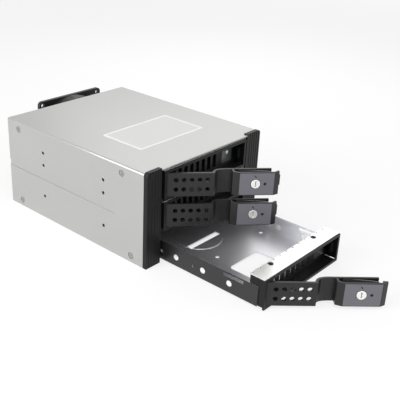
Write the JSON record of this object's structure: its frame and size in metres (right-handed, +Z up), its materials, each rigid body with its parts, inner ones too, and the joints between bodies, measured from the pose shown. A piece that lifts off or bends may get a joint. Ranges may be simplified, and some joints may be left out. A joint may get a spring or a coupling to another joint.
{
  "type": "hot swap drive cage",
  "caption": "Hot swap drive cage: steel shell with slide-out drive trays, each with a swinging locking lever, and a rear fan, for two 5.25 inch bays.",
  "frame": {"origin": "middle of the underside of the cage, halfway between the front of its posts and the back of its rear panel", "axes": "+X to the right seen from the front, +Y to the rear, where the trays slide in, +Z up"},
  "size_m": [0.146, 0.3729, 0.0856],
  "materials": {
    "cover_steel": "fine grained, satin",
    "frame_steel": "zinc plated, satin",
    "black_plastic": "fine texture",
    "lever_plastic": "satin",
    "tray_paint": "black, fine texture",
    "fan_plastic": "satin",
    "clear_plastic": "clear",
    "spring_steel": "bright",
    "screw_steel": "zinc plated",
    "lock_metal": "bright",
    "circuit_board": "green solder mask"
  },
  "bodies": {
    "cage": {"outer_cover": "cover_steel", "base_plate": "frame_steel", "side_wall_left": "frame_steel", "side_wall_right": "frame_steel", "guide_rails_left": "black_plastic", "guide_rails_right": "black_plastic", "top_brace": "frame_steel", "front_post_left": "black_plastic", "front_post_right": "black_plastic", "rear_panel": "frame_steel", "backplane": "circuit_board", "drive_connectors": "black_plastic", "data_sockets": "black_plastic", "power_sockets": "black_plastic", "fan_frame": "fan_plastic", "fan_screws": "screw_steel", "cover_screws": "screw_steel"},
    "fan_wheel": {"fan_rotor": "fan_plastic"},
    "bottom_tray": {"tray_pan_bottom": "tray_paint", "tray_bezel_bottom": "black_plastic", "light_pipe_bottom": "clear_plastic", "shield_strip_bottom": "spring_steel", "hinge_pin_bottom": "screw_steel", "bezel_screws_bottom": "screw_steel"},
    "bottom_lever": {"lever_bottom": "lever_plastic", "latch_spring_bottom": "spring_steel"},
    "bottom_latch": {"latch_block_bottom": "lever_plastic"},
    "bottom_lock": {"lock_barrel_bottom": "lock_metal"},
    "middle_tray": {"tray_pan_middle": "tray_paint", "tray_bezel_middle": "black_plastic", "light_pipe_middle": "clear_plastic", "shield_strip_middle": "spring_steel", "hinge_pin_middle": "screw_steel", "bezel_screws_middle": "screw_steel"},
    "middle_lever": {"lever_middle": "lever_plastic", "latch_spring_middle": "spring_steel"},
    "middle_latch": {"latch_block_middle": "lever_plastic"},
    "middle_lock": {"lock_barrel_middle": "lock_metal"},
    "top_tray": {"tray_pan_top": "tray_paint", "tray_bezel_top": "black_plastic", "light_pipe_top": "clear_plastic", "shield_strip_top": "spring_steel", "hinge_pin_top": "screw_steel", "bezel_screws_top": "screw_steel"},
    "top_lever": {"lever_top": "lever_plastic", "latch_spring_top": "spring_steel"},
    "top_latch": {"latch_block_top": "lever_plastic"},
    "top_lock": {"lock_barrel_top": "lock_metal"}
  },
  "joints": [
    {"name": "fan_spin", "type": "hinge", "parent": "cage", "child": "fan_wheel", "pos_m": [0.02, 0.0905, 0.04175], "axis": [0, 1, 0], "continuous": true},
    {"name": "bottom_tray_slide", "type": "slide", "parent": "cage", "child": "bottom_tray", "axis": [0, -1, 0], "range_m": [-0.1035, 0.0465]},
    {"name": "bottom_lever_hinge", "type": "hinge", "parent": "bottom_tray", "child": "bottom_lever", "pos_m": [-0.0468, -0.1907, 0.0135], "axis": [0, 0, -1], "range_deg": [-46, 26]},
    {"name": "bottom_latch_slide", "type": "slide", "parent": "bottom_lever", "child": "bottom_latch", "axis": [-0.6947, 0.7193, 0], "range_m": [0, 0.0024], "stiffness_N_per_m": 400},
    {"name": "bottom_lock_turn", "type": "hinge", "parent": "bottom_latch", "child": "bottom_lock", "pos_m": [0.00308, -0.24235, 0.0135], "axis": [-0.7193, -0.6947, 0], "range_deg": [0, 90]},
    {"name": "middle_tray_slide", "type": "slide", "parent": "cage", "child": "middle_tray", "axis": [0, -1, 0], "range_m": [0, 0.15]},
    {"name": "middle_lever_hinge", "type": "hinge", "parent": "middle_tray", "child": "middle_lever", "pos_m": [-0.0468, -0.0872, 0.041], "axis": [0, 0, -1], "range_deg": [-42, 30]},
    {"name": "middle_latch_slide", "type": "slide", "parent": "middle_lever", "child": "middle_latch", "axis": [-0.7431, 0.6691, 0], "range_m": [0, 0.0024], "stiffness_N_per_m": 400},
    {"name": "middle_lock_turn", "type": "hinge", "parent": "middle_latch", "child": "middle_lock", "pos_m": [0.00656, -0.13524, 0.041], "axis": [-0.6691, -0.7431, 0], "range_deg": [0, 90]},
    {"name": "top_tray_slide", "type": "slide", "parent": "cage", "child": "top_tray", "axis": [0, -1, 0], "range_m": [0, 0.15]},
    {"name": "top_lever_hinge", "type": "hinge", "parent": "top_tray", "child": "top_lever", "pos_m": [-0.0468, -0.0872, 0.0685], "axis": [0, 0, -1], "range_deg": [-42, 30]},
    {"name": "top_latch_slide", "type": "slide", "parent": "top_lever", "child": "top_latch", "axis": [-0.7431, 0.6691, 0], "range_m": [0, 0.0024], "stiffness_N_per_m": 400},
    {"name": "top_lock_turn", "type": "hinge", "parent": "top_latch", "child": "top_lock", "pos_m": [0.00656, -0.13524, 0.0685], "axis": [-0.6691, -0.7431, 0], "range_deg": [0, 90]}
  ]
}
